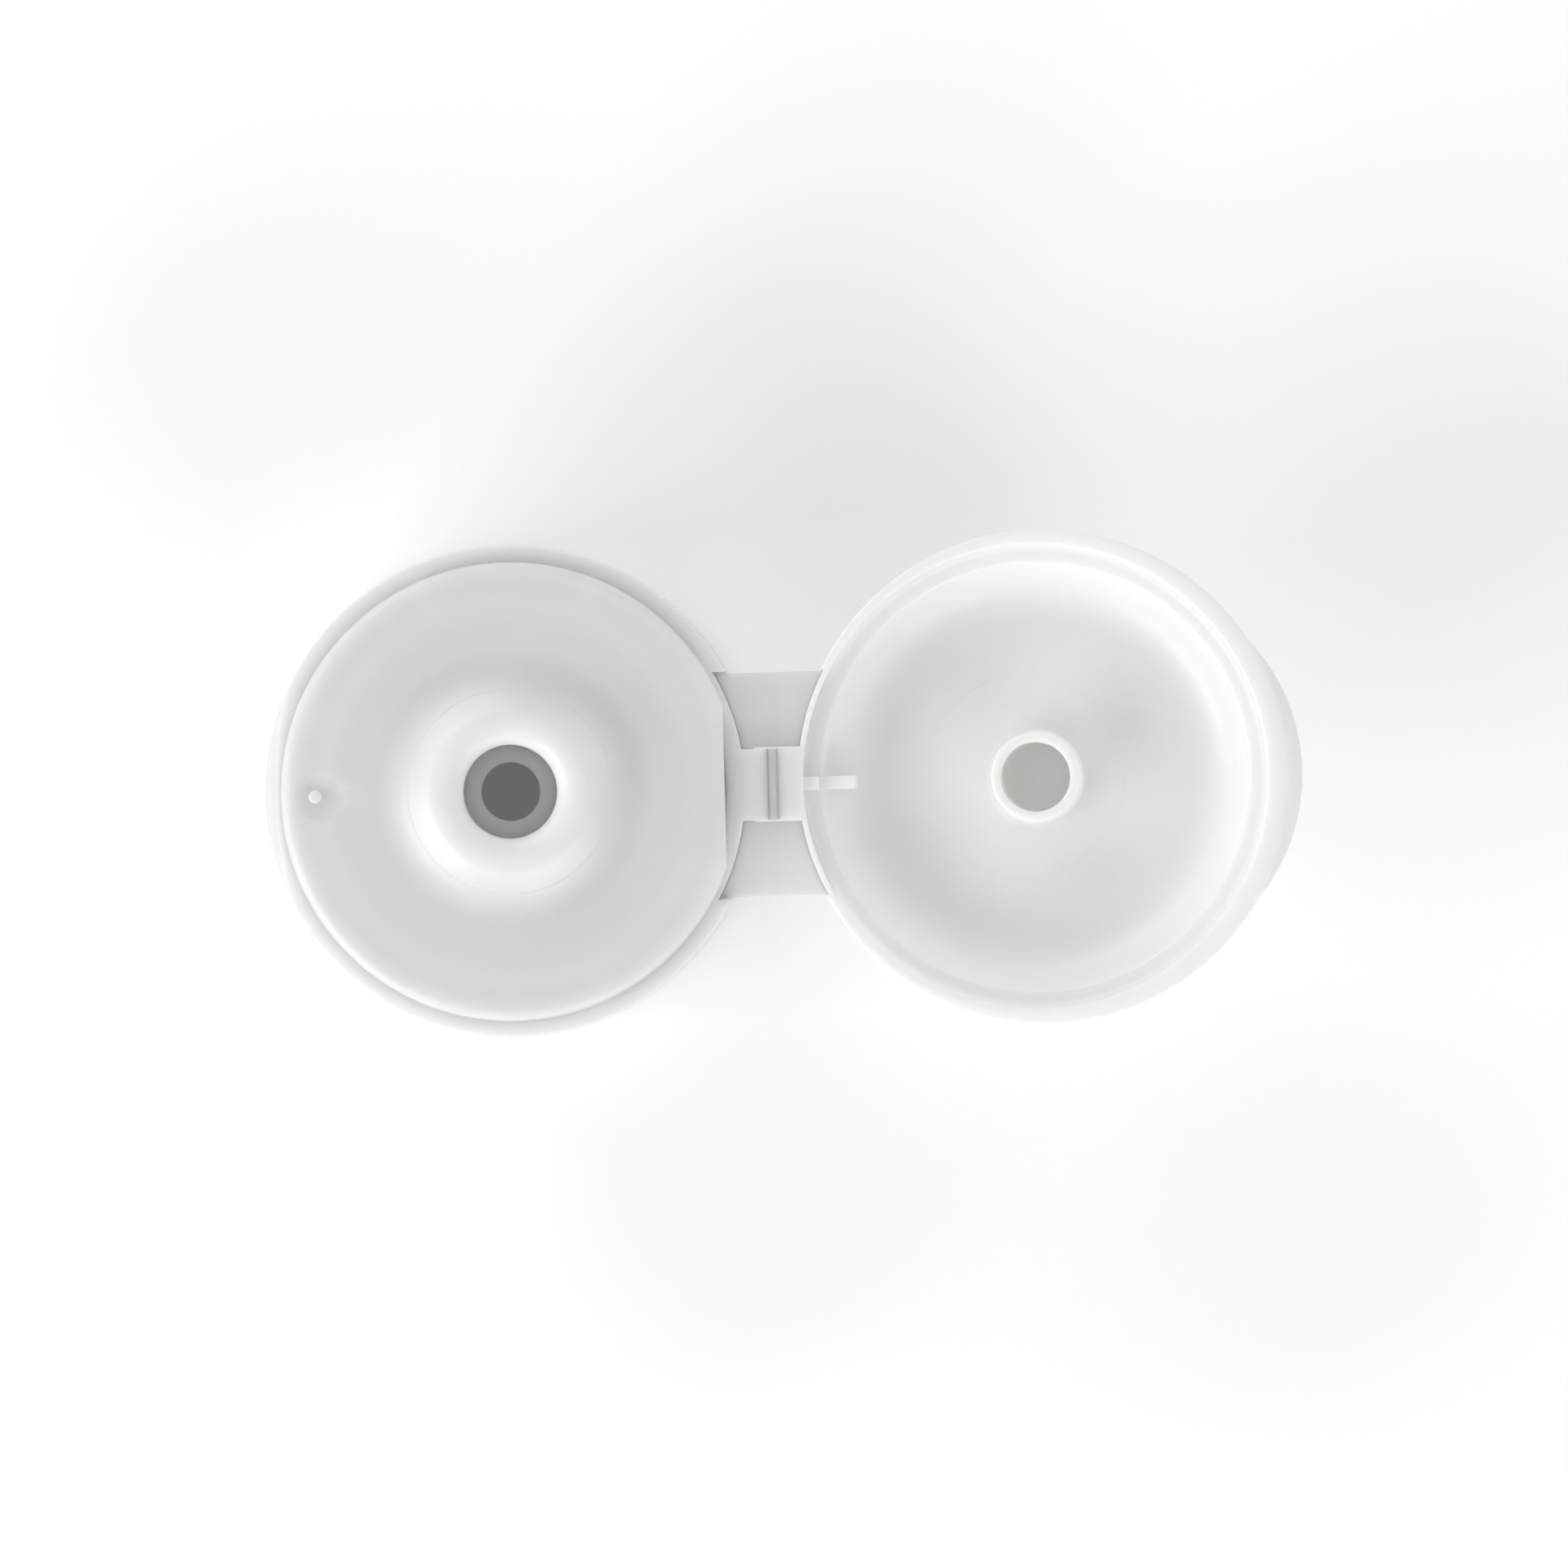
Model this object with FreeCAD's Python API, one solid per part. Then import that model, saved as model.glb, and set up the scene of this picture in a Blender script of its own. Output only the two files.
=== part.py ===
"""Flip top closure for a 28 mm bottle neck, moulded open in one piece of polypropylene.

A threaded body carries a crater-shaped nozzle, and a shallow domed lid hangs from it on a butterfly hinge.
The frame has its origin on the body's axis at its foot, +Z up and +X towards the lid. Lengths are in mm.
The lid is worked out shut, on top of the body, and is then swung open about the hinge line.
"""

import FreeCAD
import Part
import math
import os

from FreeCAD import Vector

# Body: outer skirt, shoulder and deck
outer_radius = 19.0  # the body's foot, and the rim of the lid
skirt_draft = 0.1  # how much narrower the body is at its shoulder
parting_height = 16.4  # where the lid's rim meets the body
skirt_wall = 1.5
shoulder_slope = math.radians(8.0)  # the shoulder falls outwards
deck_radius = 17.6
deck_rise = 1.3  # above the parting plane
deck_edge_round = 0.8
deck_thickness = 1.2
hinge_flat_reach = 16.45  # the deck is cut straight here, on the hinge side

# Nozzle
crest_rise = 2.3  # above the deck
crest_width = 0.5
crest_round = 1.8
flank_foot_radius = 9.0
flank_foot_round = 5.0
bore_radius = 3.6
bore_mouth_round = 1.5
bore_floor_drop = 1.3  # below the parting plane
shelf_thickness = 1.0
orifice_radius = 2.25
well_wall = 1.1
mouth_flare = 0.4  # the bore's mouth and the crest meet this far outside the rounding

# Neck fit
thread_wall_radius = 14.05
thread_wall_length = 13.6  # above it the wall is thicker, up to the deck
thread_wall_step = 0.25
neck_skirt_wall = 1.25
seal_radius = 11.7
seal_wall = 0.8
seal_depth = 2.0
rib_count = 8
rib_thickness = 0.9
rib_depth = 9.0

# Marks of the moulding on the deck
gate_reach = 14.6
gate_radius = 1.9
gate_depth = 0.3
gate_nub_radius = 0.5
gate_nub_offset = 0.38

# Thumb scoop under the shoulder, at the front
scoop_depth = 0.85
scoop_plan_radius = 33.0
scoop_section_radius = 7.0

# Lid
lid_gap = 0.03  # between rim and shoulder when shut
lid_wall = 1.3
lid_depth = 5.0  # from the rim plane to the inside of the top
lid_bowl_lean = 1.0  # the bowl's wall leans in this much by its floor
lid_bowl_round = 4.4
lid_side_draft = 0.35
lid_outer_round = 6.0
crown_rise = 0.3
crown_flat_radius = 6.0
crown_round = 90.0
rim_inner_round = 0.27
deck_clearance = 0.15  # lid around the deck's edge
rabbet_clearance = 0.2  # lid above the deck's edge
front_overhang = 0.62  # the lid's front stands this far beyond the body

# Thumb lip
lip_reach = 20.55
lip_plan_radius = 15.0
lip_height = 3.0
lip_edge = 0.55
lip_fall = 0.35

# Plug, which seals in the nozzle's bore
plug_clearance = 0.08
plug_hollow_radius = 2.67
plug_engagement = 1.2
plug_tip_round = 0.3
plug_tip_taper = 0.12  # its tip is narrower, to enter the bore on its swing
plug_root_growth = 0.16
plug_root_round = 0.5

# Stiffening rib inside the lid at the hinge
lid_rib_inner_reach = 13.9
lid_rib_thickness = 1.0
lid_rib_set_back = 0.45  # behind the rim plane, where it crosses the rabbet

# Butterfly hinge
hinge_reach = 20.13
open_angle = 176.0
hinge_width = 17.5
recess_drop = 1.0  # the walls stand back this far from the outer radius
lid_recess_drop = 0.8
body_recess_depth = 4.5
lid_recess_depth = 3.4
recess_backing = 1.0
strap_width = 5.5
strap_thickness = 0.9
strap_lid_slope = math.radians(4.0)
fold_offset = 0.1  # from the fold line to each half of the strap
film_width = 0.7
film_thickness = 0.3
wing_thickness = 0.45
wing_drop = 0.9  # below the shoulder, where the wing leaves the body
wing_valley_shift = 0.45  # the valley lies this far beyond the fold line
wing_valley_drop = 0.45
wing_valley_round = 0.9
wing_slit = 0.12
seam_gap = 0.04

# What follows from the sizes above
shoulder_radius = outer_radius - skirt_draft
recess_radius = outer_radius - recess_drop
lid_recess_radius = outer_radius - lid_recess_drop
deck_height = parting_height + deck_rise
crest_height = deck_height + crest_rise
bore_floor_height = parting_height - bore_floor_drop
fold_height = parting_height - fold_offset - (hinge_reach - lid_recess_radius) * math.tan(strap_lid_slope)
fold_point = Vector(hinge_reach, 0, fold_height)
up = Vector(0, 0, 1)
across = Vector(0, 1, 0)
centre = Vector(0, 0, 0)
far = 60.0  # longer than any part of the closure
bleed = 0.5  # how far a cut or a buried root runs past what it meets


def rounded_face(corners):
    """A closed face in the XZ plane through corners (x, z, radius), each rounded by its radius."""
    points = [Vector(x, 0, z) for x, z, _ in corners]
    starts = []
    ends = []
    middles = []
    for index, (_, _, radius) in enumerate(corners):
        here = points[index]
        back = (points[index - 1] - here).normalize()
        onward = (points[(index + 1) % len(points)] - here).normalize()
        half_angle = back.getAngle(onward) / 2
        run = radius / math.tan(half_angle)
        inward = (back + onward).normalize() if radius else Vector(0, 0, 0)
        starts.append(here + back * run)
        ends.append(here + onward * run)
        middles.append(here + inward * (radius / math.sin(half_angle) - radius))
    edges = []
    for index, (_, _, radius) in enumerate(corners):
        if radius:
            edges.append(Part.Arc(starts[index], middles[index], ends[index]).toShape())
        leave = ends[index]
        arrive = starts[(index + 1) % len(points)]
        if leave.distanceToPoint(arrive) > 1e-6:
            edges.append(Part.makeLine(leave, arrive))
    return Part.Face(Part.Wire(edges))


def turned(corners, angle=360):
    """The rounded face turned about the Z axis."""
    return rounded_face(corners).revolve(centre, up, angle)


def extruded(corners, low_y, high_y):
    """The rounded face drawn out along Y."""
    face = rounded_face(corners)
    face.translate(across * low_y)
    return face.extrude(across * (high_y - low_y))


def upright_cylinder(radius, low_z, high_z, x=0.0, y=0.0):
    """A cylinder about a line parallel to Z."""
    return Part.makeCylinder(radius, high_z - low_z, Vector(x, y, low_z), up)


def block(low, high):
    """A box between two corners."""
    low = Vector(*low)
    size = Vector(*high) - low
    return Part.makeBox(size.x, size.y, size.z, low)


def shoulder_height(radius):
    """The height of the sloping shoulder at a radius; the lid lands on it at the recessed wall."""
    return parting_height - (radius - lid_recess_radius) * math.tan(shoulder_slope)


def strap_height(x):
    """The height of the body's half of the strap at a distance from the axis."""
    return fold_height - fold_offset + (hinge_reach - x) * math.tan(shoulder_slope)


def swing_open(shape):
    """A copy of a shape that was worked out with the lid shut, swung open about the fold line."""
    opened = shape.copy()
    opened.rotate(fold_point, across, open_angle)
    return opened


def mirrored_in_y(shape):
    """The same shape on the other side of the hinge's middle."""
    return shape.mirror(centre, across)


def body_shell():
    """Outer skirt, shoulder and deck, turned in one."""
    inner = outer_radius - skirt_wall
    inner_top = shoulder_radius - skirt_wall
    deck_underside = deck_height - deck_thickness
    return turned(
        [
            (0, deck_height, 0),
            (0, deck_underside, 0),
            (inner_top, deck_underside, 1.0),
            (inner, 0, 0),
            (outer_radius, 0, 0),
            (shoulder_radius, shoulder_height(shoulder_radius), 0),
            (deck_radius, shoulder_height(deck_radius), 0),
            (deck_radius, deck_height, deck_edge_round),
        ]
    )


def nozzle():
    """The crater-shaped nozzle: outer flank, crest and the wall of the well that hangs below the deck."""
    crest_inner = bore_radius + bore_mouth_round + mouth_flare
    crest_outer = crest_inner + crest_width
    well_radius = bore_radius + well_wall
    well_bottom = bore_floor_height - shelf_thickness
    return turned(
        [
            (0, well_bottom, 0),
            (well_radius, well_bottom, 0),
            (well_radius, deck_height - deck_thickness, 0),
            (flank_foot_radius + flank_foot_round, deck_height - deck_thickness, 0),
            (flank_foot_radius + flank_foot_round, deck_height, 0),
            (flank_foot_radius, deck_height, flank_foot_round),
            (crest_outer, crest_height, crest_round),
            (0, crest_height, 0),
        ]
    )


def nozzle_bore():
    """What is cut from the nozzle: the flared mouth, the bore down to its shelf, and the orifice."""
    mouth_radius = bore_radius + bore_mouth_round + mouth_flare
    bore = turned(
        [
            (0, bore_floor_height, 0),
            (bore_radius, bore_floor_height, 0),
            (bore_radius, crest_height - mouth_flare / 4, bore_mouth_round),
            (mouth_radius, crest_height, 0),
            (mouth_radius, crest_height + bleed, 0),
            (0, crest_height + bleed, 0),
        ]
    )
    orifice = upright_cylinder(orifice_radius, bore_floor_height - far / 4, crest_height)
    return bore.fuse(orifice)


def neck_skirt():
    """The inner skirt, whose wall carries the thread for the bottle's neck."""
    top = deck_height - deck_thickness / 2
    outer = thread_wall_radius + neck_skirt_wall
    return turned(
        [
            (thread_wall_radius - thread_wall_step, top, 0),
            (thread_wall_radius - thread_wall_step, thread_wall_length, 0),
            (thread_wall_radius, thread_wall_length, 0),
            (thread_wall_radius, 0, 0),
            (outer, 0, 0),
            (outer, top, 0),
        ]
    )


def seal_ring():
    """The ring under the deck that plugs the mouth of the bottle."""
    root = deck_height - deck_thickness / 2
    tip = deck_height - deck_thickness - seal_depth
    return turned(
        [
            (seal_radius - seal_wall, root, 0),
            (seal_radius - seal_wall, tip, 0),
            (seal_radius - seal_wall / 3, tip, 0),
            (seal_radius, tip + seal_depth / 2, 0),
            (seal_radius, root, 0),
        ]
    )


def skirt_ribs():
    """Ribs between the two skirts, hung from the deck."""
    inner = thread_wall_radius + neck_skirt_wall / 2
    outer = shoulder_radius - skirt_wall + skirt_draft * 1.5
    top = deck_height - deck_thickness / 2
    ribs = []
    for index in range(rib_count):
        rib = block((inner, -rib_thickness / 2, top - rib_depth), (outer, rib_thickness / 2, top))
        rib.rotate(centre, up, (index + 0.5) * 360 / rib_count)
        ribs.append(rib)
    return ribs


def ring_sector(inner, outer, low_z, high_z, half_width):
    """Part of an upright ring, on the hinge side, as wide as the hinge."""
    ring = upright_cylinder(outer, low_z, high_z).cut(upright_cylinder(inner, low_z - bleed, high_z + bleed))
    window = block((inner / 2, -half_width, low_z), (outer + bleed, half_width, high_z))
    return ring.common(window)


def hinge_backing():
    """Thicker wall inside the skirt, where the hinge's recess is cut from outside."""
    low = parting_height - body_recess_depth - recess_backing
    high = deck_height - deck_thickness / 2
    outer = shoulder_radius - skirt_wall + skirt_draft * 1.5
    return ring_sector(recess_radius - skirt_wall, outer, low, high, hinge_width / 2 + recess_backing)


def body_recess():
    """What is cut from the outside of the body to let the hinge's wings fold away."""
    low = parting_height - body_recess_depth
    return ring_sector(recess_radius, outer_radius + bleed, low, parting_height + deck_rise, hinge_width / 2)


def hinge_flat():
    """What is cut from the deck's edge at the hinge, down to the plane of the strap."""
    corners = [
        (hinge_flat_reach, strap_height(hinge_flat_reach), 0.15),
        (hinge_flat_reach, deck_height - deck_edge_round / 4, deck_edge_round / 2),
        (hinge_flat_reach - deck_edge_round, deck_height, 0),
        (hinge_flat_reach - deck_edge_round, deck_height + bleed, 0),
        (outer_radius + bleed, deck_height + bleed, 0),
        (outer_radius + bleed, strap_height(outer_radius + bleed), 0),
    ]
    return extruded(corners, -outer_radius / 2, outer_radius / 2)


def strap_on_body():
    """The body's half of the strap, which runs on from the sloping shoulder to the fold."""
    root = recess_radius - skirt_wall / 2
    tip = hinge_reach - film_width / 2
    corners = [
        (root, strap_height(root), 0),
        (tip, strap_height(tip), 0),
        (tip, strap_height(tip) - film_thickness, 0),
        (tip - 0.4, strap_height(tip) - strap_thickness, 0.2),
        (recess_radius, strap_height(recess_radius) - strap_thickness, 0),
        (recess_radius - 0.1, strap_height(root) - 2 * strap_thickness, 0),
        (root, strap_height(root) - 2 * strap_thickness, 0),
    ]
    return extruded(corners, -strap_width / 2, strap_width / 2)


def thumb_scoop():
    """What is cut from the front of the skirt for the thumb, deepest at the shoulder."""
    front = outer_radius - skirt_draft - scoop_depth
    plan_centre = scoop_plan_radius - front
    ring = Part.makeTorus(scoop_plan_radius + scoop_section_radius, scoop_section_radius)
    ring.translate(Vector(plan_centre, 0, parting_height))
    window = block((-outer_radius - bleed, -outer_radius, 0), (0, outer_radius, parting_height + deck_rise / 4))
    above = block((-outer_radius - bleed, -outer_radius, parting_height), (0, outer_radius, parting_height + 0.2))
    flat_ring = upright_cylinder(scoop_plan_radius, parting_height, parting_height + 0.2, x=plan_centre)
    return ring.common(window).fuse(above.cut(flat_ring))


def gate_dish():
    """The shallow dish round the moulding's gate."""
    ball_radius = (gate_radius**2 + gate_depth**2) / (2 * gate_depth)
    return Part.makeSphere(ball_radius, Vector(-gate_reach, 0, deck_height + ball_radius - gate_depth))


def gate_nub():
    """The stub that is left where the gate broke off."""
    reach = -gate_reach - gate_nub_offset
    nub = Part.makeCylinder(gate_nub_radius, gate_depth * 1.5, Vector(reach, 0, deck_height - gate_depth * 1.4), up)
    return nub.makeFillet(gate_nub_radius / 2, [nub.Edges[0]])


def closure_body():
    """The whole body below the hinge's fold."""
    body = body_shell().fuse([nozzle(), neck_skirt(), seal_ring(), hinge_backing()] + skirt_ribs())
    body = body.cut(nozzle_bore())
    body = body.cut(hinge_flat()).cut(body_recess())
    body = body.cut(thumb_scoop()).cut(gate_dish())
    return body.fuse([strap_on_body(), gate_nub()]).removeSplitter()


def lid_outer_corners(side_radius):
    """The outside of the lid's half section, from its axis to its rim."""
    top = parting_height + lid_gap + lid_depth + lid_wall
    shoulder = side_radius - lid_side_draft
    rim = parting_height + lid_gap
    return [
        (0, rim, 0),
        (0, top + crown_rise, 0),
        (crown_flat_radius, top + crown_rise, crown_round),
        (shoulder, top - crown_rise / 3, lid_outer_round),
        (side_radius, rim, 0),
    ]


def lid_outer():
    """The lid as a closed dome whose front half is drawn forward, beyond the body."""
    corners = lid_outer_corners(outer_radius)
    back = turned(corners, 180)
    back.rotate(centre, up, -90)
    front = turned(corners, 180)
    front.rotate(centre, up, 90)
    front.translate(Vector(-front_overhang, 0, 0))
    half = rounded_face(corners)
    half.rotate(centre, up, 90)
    whole = half.fuse(half.mirror(centre, across))
    between = whole.extrude(Vector(-front_overhang, 0, 0))
    return back.fuse([front, between])


def thumb_lip():
    """The lip under the lid's front edge that the thumb lifts."""
    rim = parting_height + lid_gap
    root = lip_plan_radius - 5.0
    lip = turned(
        [
            (root, rim, 0),
            (lip_plan_radius - 1.2, rim, 2.0),
            (lip_plan_radius, rim + lip_fall, 0.15),
            (lip_plan_radius, rim + lip_fall + lip_edge, 0.2),
            (lip_plan_radius - 1.3, rim + lip_fall + lip_edge + 0.25, 1.2),
            (lip_plan_radius - 2.6, rim + lip_height + 0.8, 0),
            (root, rim + lip_height + 0.8, 0),
        ]
    )
    lip.translate(Vector(lip_plan_radius - lip_reach, 0, 0))
    window = block((-far, -far, rim - bleed), (-outer_radius / 2, far, rim + lip_height + 1.0))
    return lip.common(window)


def lid_bowl():
    """What is cut from inside the lid: the bowl, and the rabbet that takes the deck's edge."""
    rim = parting_height + lid_gap
    inner = hinge_flat_reach
    shelf = rim + deck_rise + rabbet_clearance
    return turned(
        [
            (0, rim - bleed, 0),
            (lid_recess_radius, rim - bleed, 0),
            (lid_recess_radius, rim, 0),
            (deck_radius + deck_clearance + 0.1, rim, rim_inner_round),
            (deck_radius + deck_clearance, shelf, 0.6),
            (inner, shelf + 0.1, 0.3),
            (inner - lid_bowl_lean, rim + lid_depth, lid_bowl_round),
            (0, rim + lid_depth, 0),
        ]
    )


def plug():
    """The hollow plug inside the lid, which enters the nozzle's bore."""
    ceiling = parting_height + lid_gap + lid_depth
    bore_top = crest_height - bore_mouth_round
    tip = bore_top - plug_engagement
    radius = bore_radius - plug_clearance
    return turned(
        [
            (plug_hollow_radius, ceiling + lid_wall / 2, 0),
            (plug_hollow_radius, tip, plug_tip_round),
            (radius - plug_tip_taper, tip, plug_tip_round),
            (radius, bore_top, 0),
            (radius + plug_root_growth, ceiling - 0.05, plug_root_round),
            (radius + plug_root_growth + 1.0, ceiling, 0),
            (radius + plug_root_growth + 1.0, ceiling + lid_wall / 2, 0),
        ]
    )


def lid_rib():
    """The short rib that stiffens the lid's wall behind the hinge."""
    shelf = parting_height + lid_gap + deck_rise + rabbet_clearance
    top = parting_height + lid_gap + lid_depth + lid_wall / 2
    half = lid_rib_thickness / 2
    outer = deck_radius + deck_clearance + 0.2
    rib = block((lid_rib_inner_reach, -half, shelf), (outer, half, top))
    step = block((hinge_flat_reach + 0.2, -half, parting_height + lid_gap + lid_rib_set_back), (outer, half, top))
    return rib.fuse(step).common(lid_outer())


def lid_recess():
    """What is cut from the outside of the lid at the hinge."""
    low = parting_height - bleed
    high = parting_height + lid_gap + lid_recess_depth
    return ring_sector(lid_recess_radius, outer_radius + bleed, low, high, hinge_width / 2)


def lid_hinge_backing():
    """Thicker wall inside the lid above the rabbet, where the recess is cut."""
    low = parting_height + lid_gap + deck_rise + rabbet_clearance
    high = parting_height + lid_gap + lid_recess_depth + recess_backing
    return ring_sector(hinge_flat_reach, lid_recess_radius, low, high, hinge_width / 2 + recess_backing)


def strap_on_lid():
    """The lid's half of the strap, with the lid shut."""
    root = lid_recess_radius - 0.4
    tip = hinge_reach - film_width / 2

    def under(x):
        return fold_height + fold_offset + (hinge_reach - x) * math.tan(strap_lid_slope)

    corners = [
        (root, under(root), 0),
        (tip, under(tip), 0),
        (tip, under(tip) + film_thickness, 0),
        (tip - 0.4, under(tip) + strap_thickness, 0.2),
        (lid_recess_radius, under(tip) + strap_thickness, 0),
        (root, under(tip) + strap_thickness, 0),
    ]
    return extruded(corners, -strap_width / 2, strap_width / 2)


def lid():
    """The lid, worked out shut and swung open."""
    shape = lid_outer().fuse(thumb_lip()).cut(lid_bowl())
    shape = shape.fuse([plug(), lid_rib(), lid_hinge_backing()]).cut(lid_recess())
    return swing_open(shape.fuse(strap_on_lid()).removeSplitter())


def hinge_film():
    """The thin film across the fold, between the two halves of the strap."""
    tip = hinge_reach - film_width / 2
    body_top = Vector(tip, 0, strap_height(tip))
    lid_under = fold_height + fold_offset + (hinge_reach - tip) * math.tan(strap_lid_slope)
    turn = FreeCAD.Rotation(across, open_angle)
    lid_top = fold_point + turn.multVec(Vector(tip + seam_gap, 0, lid_under) - fold_point)
    lid_low = fold_point + turn.multVec(Vector(tip + seam_gap, 0, lid_under + film_thickness) - fold_point)
    corners = [
        (body_top.x, body_top.z, 0),
        (hinge_reach, fold_height - 1.6 * fold_offset, 0.4),
        (lid_top.x, lid_top.z, 0),
        (lid_low.x, lid_low.z, 0),
        (hinge_reach, fold_height - 1.6 * fold_offset - 0.8 * film_thickness, 0.4),
        (body_top.x, body_top.z - film_thickness, 0),
    ]
    return extruded(corners, -strap_width / 2, strap_width / 2)


def hinge_wing():
    """One wing of the butterfly hinge: a shallow trough between the two recessed walls, beside the strap."""
    turn = FreeCAD.Rotation(across, open_angle)
    on_body = Vector(recess_radius, 0, shoulder_height(recess_radius) - wing_drop)
    lid_shut = Vector(lid_recess_radius, 0, parting_height + lid_gap + wing_drop)
    on_lid = fold_point + turn.multVec(lid_shut - fold_point)
    valley = Vector(hinge_reach + wing_valley_shift, 0, on_body.z - wing_valley_drop)
    start = on_body + (on_body - valley).normalize() * 4.0
    end = on_lid + (on_lid - valley).normalize() * 4.0
    drop = wing_thickness
    corners = [
        (start.x, start.z, 0),
        (valley.x, valley.z, wing_valley_round),
        (end.x, end.z, 0),
        (end.x, end.z - drop, 0),
        (valley.x, valley.z - drop, wing_valley_round + drop),
        (start.x, start.z - drop, 0),
    ]
    wing = extruded(corners, strap_width / 2 + wing_slit, hinge_width / 2 - wing_slit)
    lid_side = upright_cylinder(lid_recess_radius + seam_gap, 0, far)
    wing = wing.cut(upright_cylinder(recess_radius, -far, far))
    return wing.cut(swing_open(lid_side))


def save(name, shape):
    """Check one node and write it to its STEP file."""
    if not shape.isValid():
        raise ValueError(name + " is not a valid shape")
    solids = shape.Solids
    print(name, len(solids), "solid, volume", round(shape.Volume, 2), "mm3")
    whole = solids[0] if len(solids) == 1 else Part.makeCompound(solids)
    whole.exportStep("parts/" + name + ".step")


def main():
    os.makedirs("parts", exist_ok=True)
    wing = hinge_wing()
    save("closure_body", closure_body())
    save("lid", lid())
    save("hinge_film", hinge_film())
    save("hinge_wing_left", wing)
    save("hinge_wing_right", mirrored_in_y(wing))


main()
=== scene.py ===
"""Looks of a flip top closure: one white moulding with a crater nozzle, a lid and a butterfly hinge.

Sizes are in millimetres in the classes below and are turned into metres where a mesh is made.
The lid is made shut, on top of the body, and is then swung open about the fold line.
"""

import logging
import math
from dataclasses import dataclass, field
from enum import Enum

import bpy
from mathutils import Matrix, Vector

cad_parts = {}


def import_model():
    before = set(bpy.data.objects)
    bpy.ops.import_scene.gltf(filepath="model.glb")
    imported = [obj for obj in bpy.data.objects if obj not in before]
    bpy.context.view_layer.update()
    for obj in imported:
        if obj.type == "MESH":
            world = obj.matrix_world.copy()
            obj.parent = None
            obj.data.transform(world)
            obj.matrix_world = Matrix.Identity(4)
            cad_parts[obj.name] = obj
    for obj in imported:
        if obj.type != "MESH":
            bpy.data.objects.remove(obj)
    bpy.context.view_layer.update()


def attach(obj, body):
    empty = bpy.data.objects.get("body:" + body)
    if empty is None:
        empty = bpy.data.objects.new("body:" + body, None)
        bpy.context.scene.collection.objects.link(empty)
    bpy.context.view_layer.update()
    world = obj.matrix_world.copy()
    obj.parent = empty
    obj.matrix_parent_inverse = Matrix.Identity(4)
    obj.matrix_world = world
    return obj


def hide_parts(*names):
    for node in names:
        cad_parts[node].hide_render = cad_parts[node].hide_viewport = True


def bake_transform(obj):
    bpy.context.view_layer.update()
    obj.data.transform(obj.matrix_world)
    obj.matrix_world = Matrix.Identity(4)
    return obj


LOG = logging.getLogger("flip_top")
MM = 0.001
SPIN_STEPS = 192
RING_HALF_WIDTH = 0.00007  # of a witness ring, in metres

Corner = tuple[float, float, float]


class Join(Enum):
    """How a second solid changes the first."""

    ADD = "UNION"
    CUT = "DIFFERENCE"


def nothing_selected() -> None:
    """Leave edit mode and deselect every object."""
    if bpy.context.object and bpy.context.object.mode != "OBJECT":
        bpy.ops.object.mode_set(mode="OBJECT")
    bpy.ops.object.select_all(action="DESELECT")


def only(piece: bpy.types.Object) -> None:
    """Make one object the only selected and active one.

    Args:
        piece: the piece that is worked on.
    """
    nothing_selected()
    piece.select_set(True)
    bpy.context.view_layer.objects.active = piece


def rounded(corners: list[Corner], arc_step: float = 9.0) -> list[Vector]:
    """Points of a closed outline whose corners are rounded.

    Args:
        corners: (x, z, radius) of each corner in millimetres.
        arc_step: the largest turn between two points of an arc, in degrees.

    Returns:
        The outline's points in the XZ plane, in metres, without a repeated last point.
    """
    spots = [Vector((x, 0, z)) for x, z, _ in corners]
    points: list[Vector] = []
    for index, (_, _, radius) in enumerate(corners):
        here = spots[index]
        if radius == 0:
            points.append(here * MM)
            continue
        back = (spots[index - 1] - here).normalized()
        onward = (spots[(index + 1) % len(spots)] - here).normalized()
        half = back.angle(onward) / 2
        centre = here + (back + onward).normalized() * (radius / math.sin(half))
        start = here + back * (radius / math.tan(half)) - centre
        turn = math.pi - 2 * half
        steps = max(2, math.ceil(math.degrees(turn) / arc_step))
        sense = 1 if start.cross(back).y > 0 else -1
        for step in range(steps + 1):
            spoke = Matrix.Rotation(-sense * turn * step / steps, 3, "Y") @ start
            points.append((centre + spoke) * MM)
    return points


def draw(name: str, points: list[Vector]) -> bpy.types.Object:
    """Draw a closed line by extruding a single vertex from point to point.

    Args:
        name: the new object's name.
        points: the line's points in metres.

    Returns:
        The object, left in edit mode with its whole line selected.
    """
    nothing_selected()
    bpy.ops.mesh.primitive_plane_add(size=MM, location=(0, 0, 0))
    piece = bpy.context.object
    piece.name = name
    bpy.ops.object.mode_set(mode="EDIT")
    bpy.ops.mesh.select_mode(type="VERT")
    bpy.ops.mesh.select_all(action="SELECT")
    bpy.ops.mesh.merge(type="CENTER")
    bpy.ops.transform.translate(value=points[0])
    for last, point in zip(points, points[1:] + points[:1]):
        bpy.ops.mesh.extrude_region_move(TRANSFORM_OT_translate={"value": point - last})
    bpy.ops.mesh.select_all(action="SELECT")
    bpy.ops.mesh.remove_doubles(threshold=1e-8)
    return piece


def tidy(piece: bpy.types.Object) -> bpy.types.Object:
    """Merge doubled points of a piece in edit mode, turn its faces outwards and leave edit mode.

    Args:
        piece: the piece that is worked on.

    Returns:
        The same piece, in object mode.
    """
    bpy.ops.mesh.select_all(action="SELECT")
    bpy.ops.mesh.remove_doubles(threshold=1e-7)
    bpy.ops.mesh.normals_make_consistent(inside=False)
    bpy.ops.object.mode_set(mode="OBJECT")
    return piece


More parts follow.
